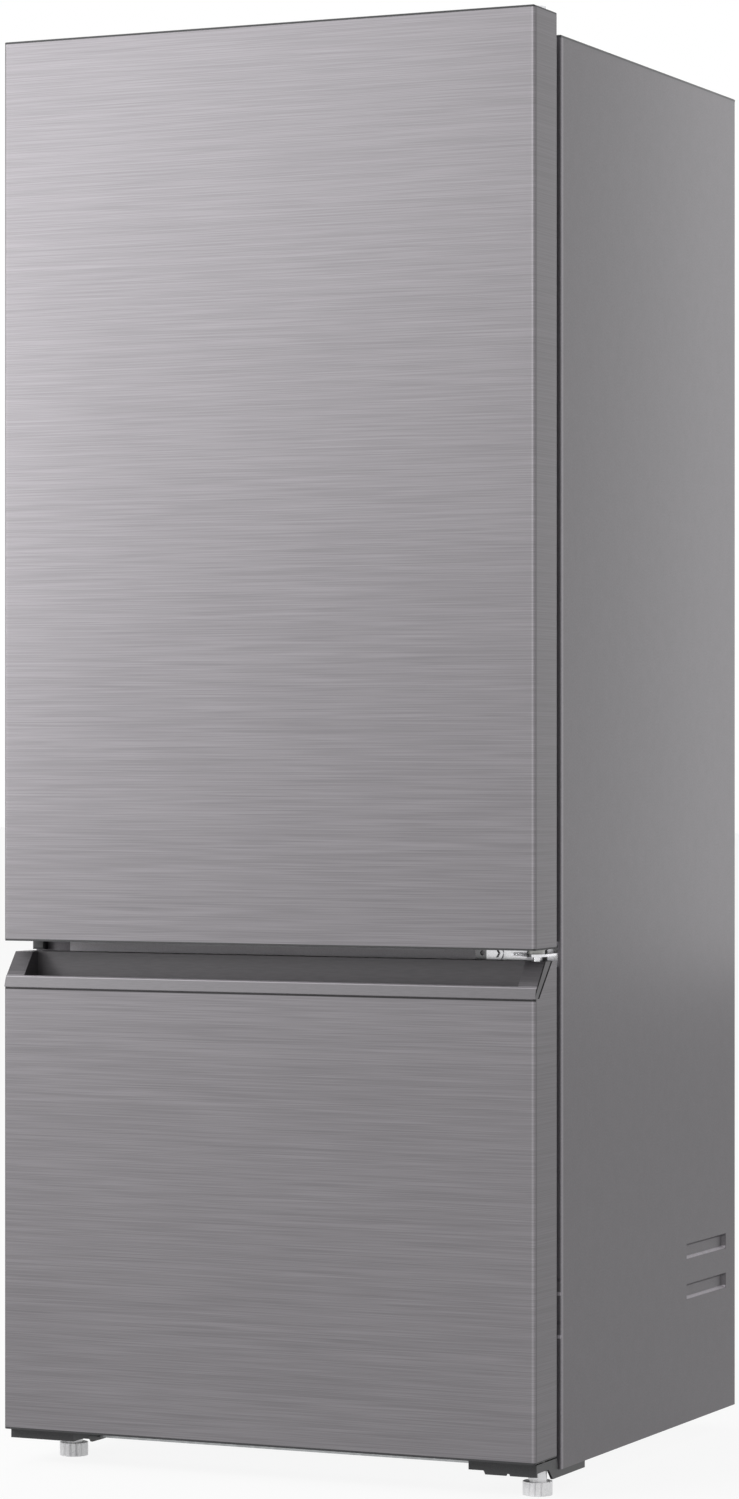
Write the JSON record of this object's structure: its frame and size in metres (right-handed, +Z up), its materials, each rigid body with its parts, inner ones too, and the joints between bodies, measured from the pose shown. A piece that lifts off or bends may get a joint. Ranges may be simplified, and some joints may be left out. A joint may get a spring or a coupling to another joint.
{
  "type": "bottom freezer refrigerator",
  "caption": "Free-standing refrigerator with a tall fridge door above a freezer door that has a full-width pocket handle, both hinged at the right.",
  "frame": {"origin": "on the floor, under the middle of the whole refrigerator", "axes": "+Z up, doors face -Y, hinges at +X"},
  "size_m": [0.7, 0.674, 1.7353],
  "materials": {
    "brushed_front": "fine horizontal brushing",
    "side_paint": "satin metallic grey",
    "dark_top": "satin dark grey",
    "galvanised": "zinc coated sheet",
    "foam": "rigid foam",
    "liner_white": "smooth moulded",
    "handle_grey": "satin metallic grey",
    "dark_trim": "fine texture",
    "zinc": "bright zinc",
    "bracket_dark": "black paint",
    "gasket": "soft vinyl",
    "glass": "toughened",
    "clear_plastic": "transparent moulded",
    "grey_plastic": "satin",
    "foot_plastic": "natural",
    "aluminium": "plain",
    "compressor_black": "gloss black",
    "copper": "bare copper tube",
    "bush": "acetal"
  },
  "bodies": {
    "cabinet": {"side_panel_left": "side_paint", "side_panel_right": "side_paint", "top_panel": "dark_top", "back_panel": "galvanised", "base_pan": "galvanised", "insulation": "foam", "fridge_liner": "liner_white", "freezer_liner": "liner_white", "cross_rail": "side_paint", "rail_plug": "dark_trim", "top_hinge": "zinc", "top_hinge_cover": "dark_trim", "middle_hinge": "zinc", "lower_hinge": "bracket_dark", "left_foot_bracket": "bracket_dark", "hinge_screws": "zinc", "air_duct": "liner_white", "light_lens": "clear_plastic", "control_panel": "grey_plastic", "upper_shelf_glass": "glass", "upper_shelf_trim": "grey_plastic", "lower_shelf_glass": "glass", "lower_shelf_trim": "grey_plastic", "crisper_cover_glass": "glass", "crisper_cover_trim": "grey_plastic", "evaporator_cover": "liner_white", "evaporator": "aluminium", "evaporator_fan_motor": "grey_plastic", "compressor": "compressor_black", "drip_tray": "dark_trim", "refrigerant_pipes": "copper", "machine_cover": "galvanised"},
    "fridge_door": {"fridge_door_panel": "brushed_front", "fridge_door_top_cap": "dark_trim", "fridge_door_bottom_cap": "dark_trim", "fridge_door_foam": "foam", "fridge_door_liner": "liner_white", "fridge_door_gasket": "gasket", "fridge_door_bushes": "bush", "door_bin_top": "clear_plastic", "door_bin_middle": "clear_plastic", "door_bin_bottom": "clear_plastic"},
    "dairy_lid": {"dairy_lid": "clear_plastic"},
    "freezer_door": {"freezer_door_panel": "brushed_front", "freezer_door_handle": "handle_grey", "freezer_door_bottom_cap": "dark_trim", "freezer_door_foam": "foam", "freezer_door_liner": "liner_white", "freezer_door_gasket": "gasket", "freezer_door_bushes": "bush"},
    "crisper_drawer": {"crisper_drawer": "clear_plastic"},
    "freezer_drawer_top": {"freezer_drawer_top": "clear_plastic"},
    "freezer_drawer_middle": {"freezer_drawer_middle": "clear_plastic"},
    "freezer_drawer_bottom": {"freezer_drawer_bottom": "clear_plastic"},
    "evaporator_fan": {"evaporator_fan": "grey_plastic"},
    "temperature_button": {"temperature_button": "dark_trim"},
    "foot_left": {"foot_left": "foot_plastic"},
    "foot_right": {"foot_right": "foot_plastic"},
    "roller_left": {"roller_left": "dark_trim"},
    "roller_right": {"roller_right": "dark_trim"}
  },
  "joints": [
    {"name": "fridge_door_hinge", "type": "hinge", "parent": "cabinet", "child": "fridge_door", "pos_m": [0.3355, -0.297, 1.2], "axis": [0, 0, 1], "range_deg": [0, 130]},
    {"name": "freezer_door_hinge", "type": "hinge", "parent": "cabinet", "child": "freezer_door", "pos_m": [0.3355, -0.297, 0.3], "axis": [0, 0, 1], "range_deg": [0, 130]},
    {"name": "dairy_lid_hinge", "type": "hinge", "parent": "fridge_door", "child": "dairy_lid", "pos_m": [0, -0.257, 1.4883], "axis": [1, 0, 0], "range_deg": [0, 85]},
    {"name": "crisper_slide", "type": "slide", "parent": "cabinet", "child": "crisper_drawer", "axis": [0, -1, 0], "range_m": [0, 0.21]},
    {"name": "freezer_top_slide", "type": "slide", "parent": "cabinet", "child": "freezer_drawer_top", "axis": [0, -1, 0], "range_m": [0, 0.18]},
    {"name": "freezer_middle_slide", "type": "slide", "parent": "cabinet", "child": "freezer_drawer_middle", "axis": [0, -1, 0], "range_m": [0, 0.18]},
    {"name": "freezer_bottom_slide", "type": "slide", "parent": "cabinet", "child": "freezer_drawer_bottom", "axis": [0, -1, 0], "range_m": [0, 0.18]},
    {"name": "evaporator_fan_spin", "type": "hinge", "parent": "cabinet", "child": "evaporator_fan", "pos_m": [0, 0.2, 0.513], "axis": [0, 1, 0], "continuous": true},
    {"name": "temperature_button_press", "type": "slide", "parent": "cabinet", "child": "temperature_button", "axis": [0, 0, 1], "range_m": [0, 0.0012], "stiffness_N_per_m": 400},
    {"name": "foot_left_turn", "type": "hinge", "parent": "cabinet", "child": "foot_left", "pos_m": [-0.304, -0.243, 0.01], "axis": [0, 0, 1], "range_deg": [-360, 1800]},
    {"name": "foot_right_turn", "type": "hinge", "parent": "cabinet", "child": "foot_right", "pos_m": [0.3325, -0.287, 0.01], "axis": [0, 0, 1], "range_deg": [-360, 1800]},
    {"name": "roller_left_spin", "type": "hinge", "parent": "cabinet", "child": "roller_left", "pos_m": [-0.27, 0.277, 0.016], "axis": [1, 0, 0], "continuous": true},
    {"name": "roller_right_spin", "type": "hinge", "parent": "cabinet", "child": "roller_right", "pos_m": [0.27, 0.277, 0.016], "axis": [1, 0, 0], "continuous": true}
  ],
  "couplings": [
    {"joint": "crisper_slide", "follows": "fridge_door_hinge", "m_per_rad": 0.09},
    {"joint": "freezer_top_slide", "follows": "freezer_door_hinge", "m_per_rad": 0.075},
    {"joint": "freezer_middle_slide", "follows": "freezer_door_hinge", "m_per_rad": 0.075},
    {"joint": "freezer_bottom_slide", "follows": "freezer_door_hinge", "m_per_rad": 0.075}
  ]
}
